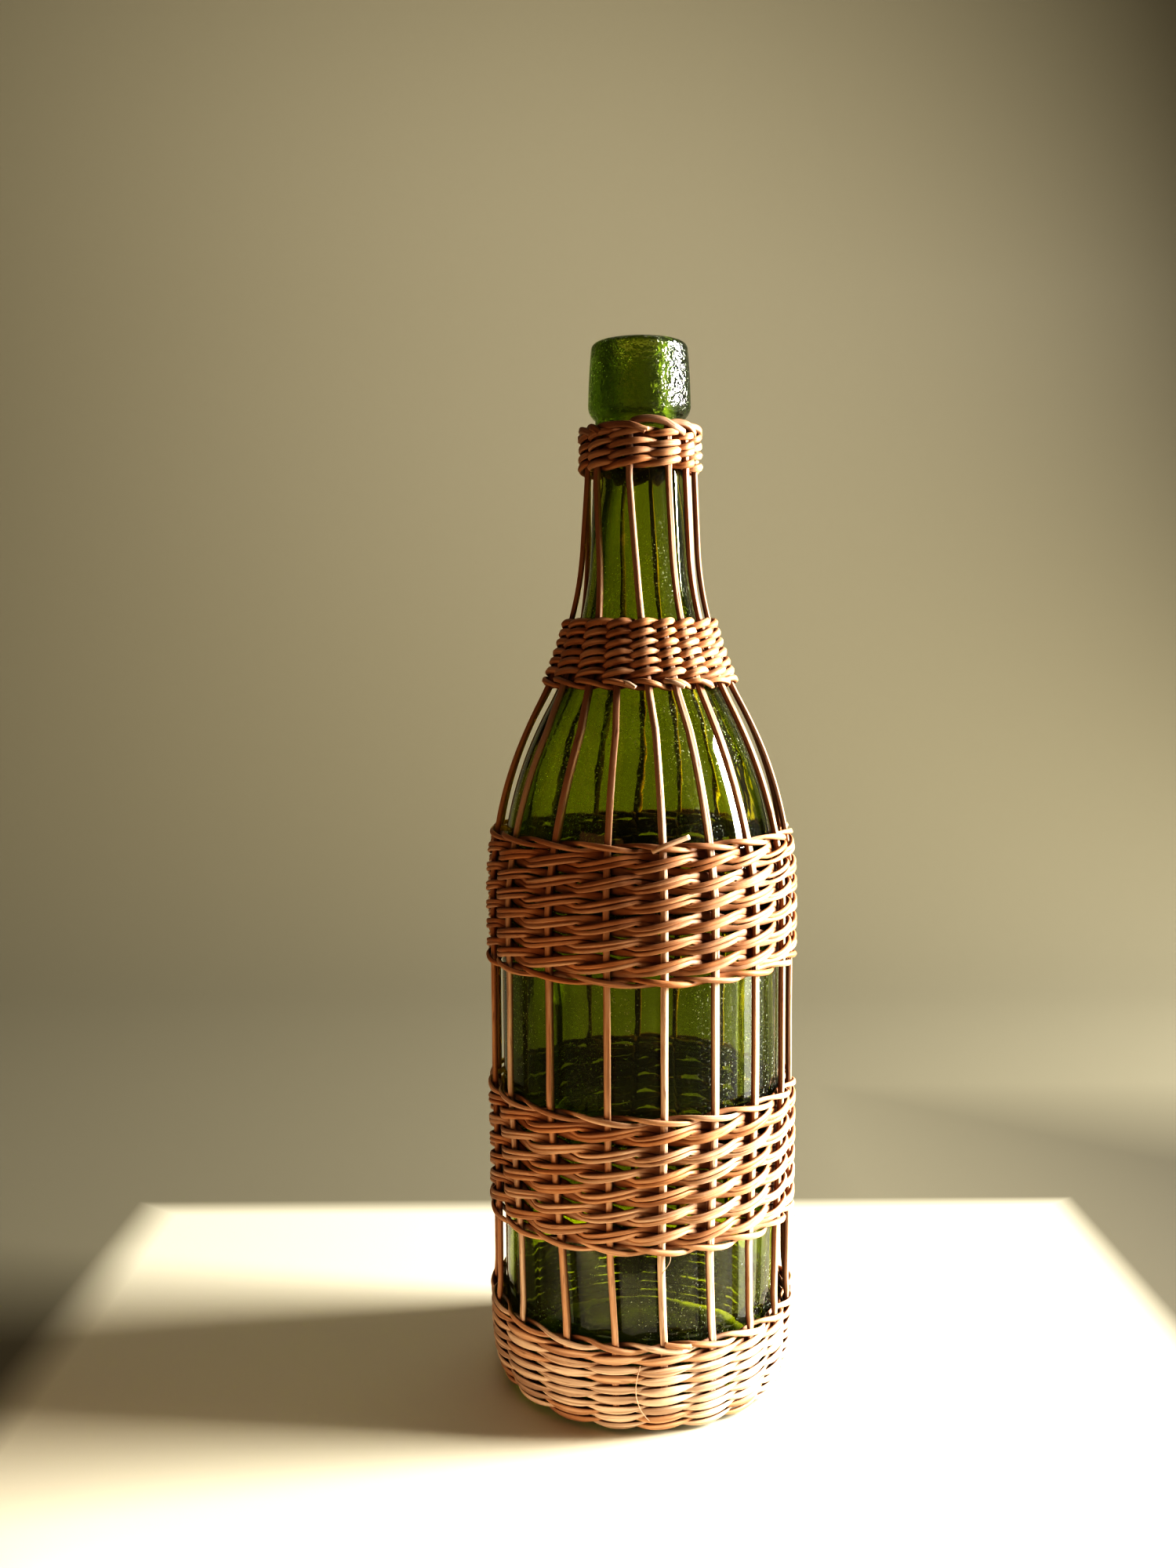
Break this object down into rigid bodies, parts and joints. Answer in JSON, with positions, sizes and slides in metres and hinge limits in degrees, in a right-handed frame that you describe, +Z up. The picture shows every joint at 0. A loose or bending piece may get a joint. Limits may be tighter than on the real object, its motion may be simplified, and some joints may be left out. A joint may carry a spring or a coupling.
{
  "type": "wicker-covered glass bottle",
  "caption": "Tall round bottle of green glass with sloping shoulders and a thick cork lip, in an open cover of upright canes and woven cane bands.",
  "frame": {"origin": "centre of the base, on the surface that the bottle stands on", "axes": "+Z up through the mouth, -Y towards the front of the picture"},
  "size_m": [0.0968, 0.0969, 0.32],
  "materials": {
    "glass": "smooth olive-green bottle glass",
    "stake_cane": "split cane, dry and matt with fine grain",
    "weaver_cane": "thin split cane, dry and matt with fine grain"
  },
  "bodies": {
    "root": {"base_row_1": "weaver_cane", "base_row_2": "weaver_cane", "base_row_3": "weaver_cane", "base_row_4": "weaver_cane", "base_row_5": "weaver_cane", "base_row_6": "weaver_cane", "base_row_7": "weaver_cane", "base_row_8": "weaver_cane", "base_row_9": "weaver_cane", "collar_row_1": "weaver_cane", "collar_row_2": "weaver_cane", "collar_row_3": "weaver_cane", "collar_row_4": "weaver_cane", "glass_bottle": "glass", "lower_row_1": "weaver_cane", "lower_row_2": "weaver_cane", "lower_row_3": "weaver_cane", "lower_row_4": "weaver_cane", "lower_row_5": "weaver_cane", "lower_row_6": "weaver_cane", "lower_row_7": "weaver_cane", "lower_row_8": "weaver_cane", "shoulder_row_1": "weaver_cane", "shoulder_row_2": "weaver_cane", "shoulder_row_3": "weaver_cane", "shoulder_row_4": "weaver_cane", "shoulder_row_5": "weaver_cane", "shoulder_row_6": "weaver_cane", "shoulder_row_7": "weaver_cane", "stake_01": "stake_cane", "stake_02": "stake_cane", "stake_03": "stake_cane", "stake_04": "stake_cane", "stake_05": "stake_cane", "stake_06": "stake_cane", "stake_07": "stake_cane", "stake_08": "stake_cane", "stake_09": "stake_cane", "stake_10": "stake_cane", "stake_11": "stake_cane", "stake_12": "stake_cane", "stake_13": "stake_cane", "stake_14": "stake_cane", "stake_15": "stake_cane", "stake_16": "stake_cane", "stake_17": "stake_cane", "stake_18": "stake_cane", "upper_row_1": "weaver_cane", "upper_row_2": "weaver_cane", "upper_row_3": "weaver_cane", "upper_row_4": "weaver_cane", "upper_row_5": "weaver_cane", "upper_row_6": "weaver_cane", "upper_row_7": "weaver_cane", "upper_row_8": "weaver_cane"}
  },
  "joints": []
}
